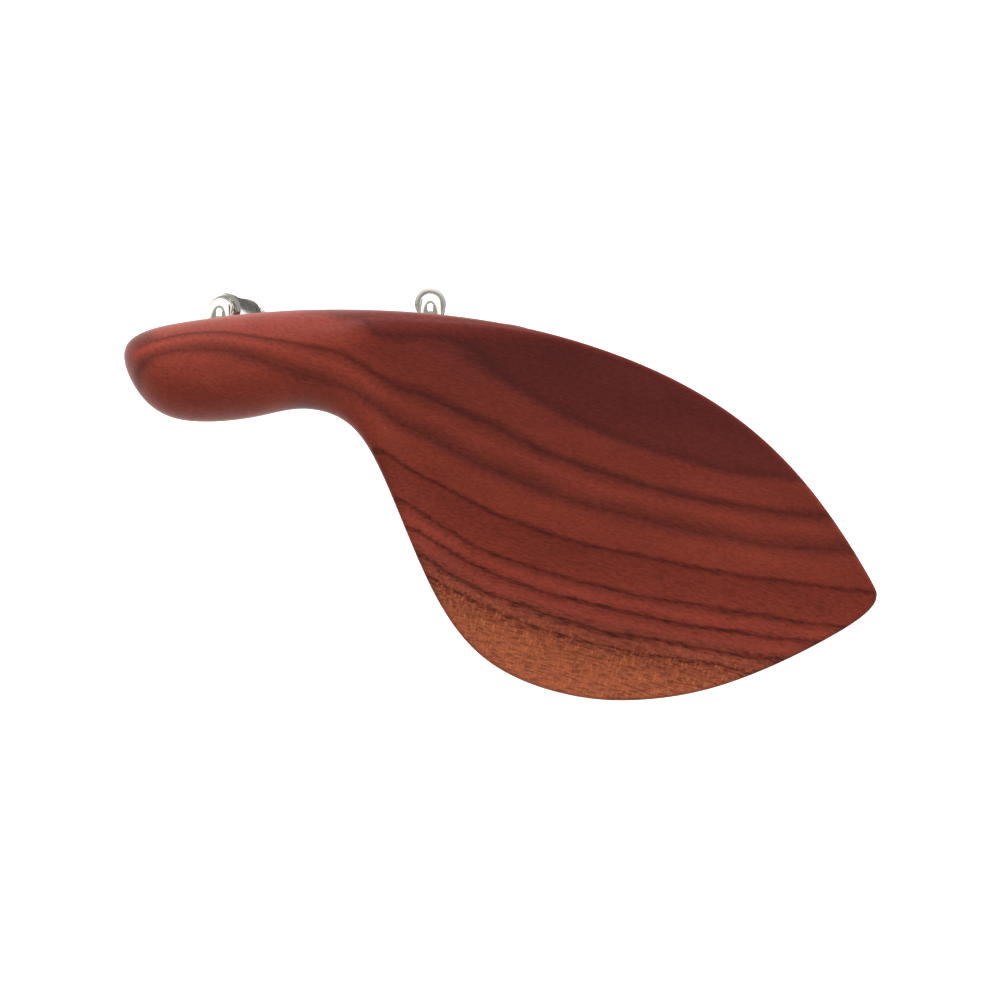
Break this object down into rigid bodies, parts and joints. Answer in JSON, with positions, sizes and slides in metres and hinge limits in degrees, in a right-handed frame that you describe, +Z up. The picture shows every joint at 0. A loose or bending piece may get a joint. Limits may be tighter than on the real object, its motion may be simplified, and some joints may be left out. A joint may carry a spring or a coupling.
{
  "type": "violin chin rest",
  "caption": "Carved wooden chin rest for a violin, with a side cup, an arm over the tailpiece, cork soles and turnbuckle clamp legs.",
  "frame": {"origin": "on the violin's end edge at the middle of the tailpiece, level with the violin's top, where the soles rest", "axes": "+X to the bass side, where the cup is; +Y out past the violin's end, where the legs stand; +Z up from the violin's top to the chin"},
  "size_m": [0.121, 0.0684, 0.0687],
  "materials": {
    "carved_wood": "oiled satin",
    "cork": "matte",
    "nickel_plate": "polished",
    "screw_steel": "satin",
    "rivet_brass": "satin"
  },
  "bodies": {
    "wooden_body": {"chin_plate": "carved_wood", "treble_sole_cork": "cork", "treble_upper_rod": "nickel_plate", "treble_tail_screw": "screw_steel", "treble_scroll_screw": "screw_steel", "bass_sole_cork": "cork", "bass_upper_rod": "nickel_plate", "bass_tail_screw": "screw_steel", "bass_scroll_screw": "screw_steel"},
    "treble_barrel": {"treble_barrel": "nickel_plate"},
    "treble_foot": {"treble_lower_rod": "nickel_plate", "treble_foot_plate": "nickel_plate", "treble_foot_cork": "cork", "treble_tail_rivet": "rivet_brass", "treble_scroll_rivet": "rivet_brass"},
    "bass_barrel": {"bass_barrel": "nickel_plate"},
    "bass_foot": {"bass_lower_rod": "nickel_plate", "bass_foot_plate": "nickel_plate", "bass_foot_cork": "cork", "bass_tail_rivet": "rivet_brass", "bass_scroll_rivet": "rivet_brass"}
  },
  "joints": [
    {"name": "treble_barrel_spin", "type": "hinge", "parent": "wooden_body", "child": "treble_barrel", "pos_m": [-0.0167, 0.0032, -0.0138], "axis": [0, 0, 1], "range_deg": [-1170, 630]},
    {"name": "treble_foot_slide", "type": "slide", "parent": "wooden_body", "child": "treble_foot", "axis": [0, 0, 1], "range_m": [-0.0039, 0.0021]},
    {"name": "bass_barrel_spin", "type": "hinge", "parent": "wooden_body", "child": "bass_barrel", "pos_m": [0.0183, 0.0041, -0.0138], "axis": [0, 0, 1], "range_deg": [-1170, 630]},
    {"name": "bass_foot_slide", "type": "slide", "parent": "wooden_body", "child": "bass_foot", "axis": [0, 0, 1], "range_m": [-0.0039, 0.0021]}
  ],
  "couplings": [
    {"joint": "treble_barrel_spin", "follows": "treble_foot_slide", "rad_per_m": 5235.9},
    {"joint": "bass_barrel_spin", "follows": "bass_foot_slide", "rad_per_m": 5235.9}
  ]
}
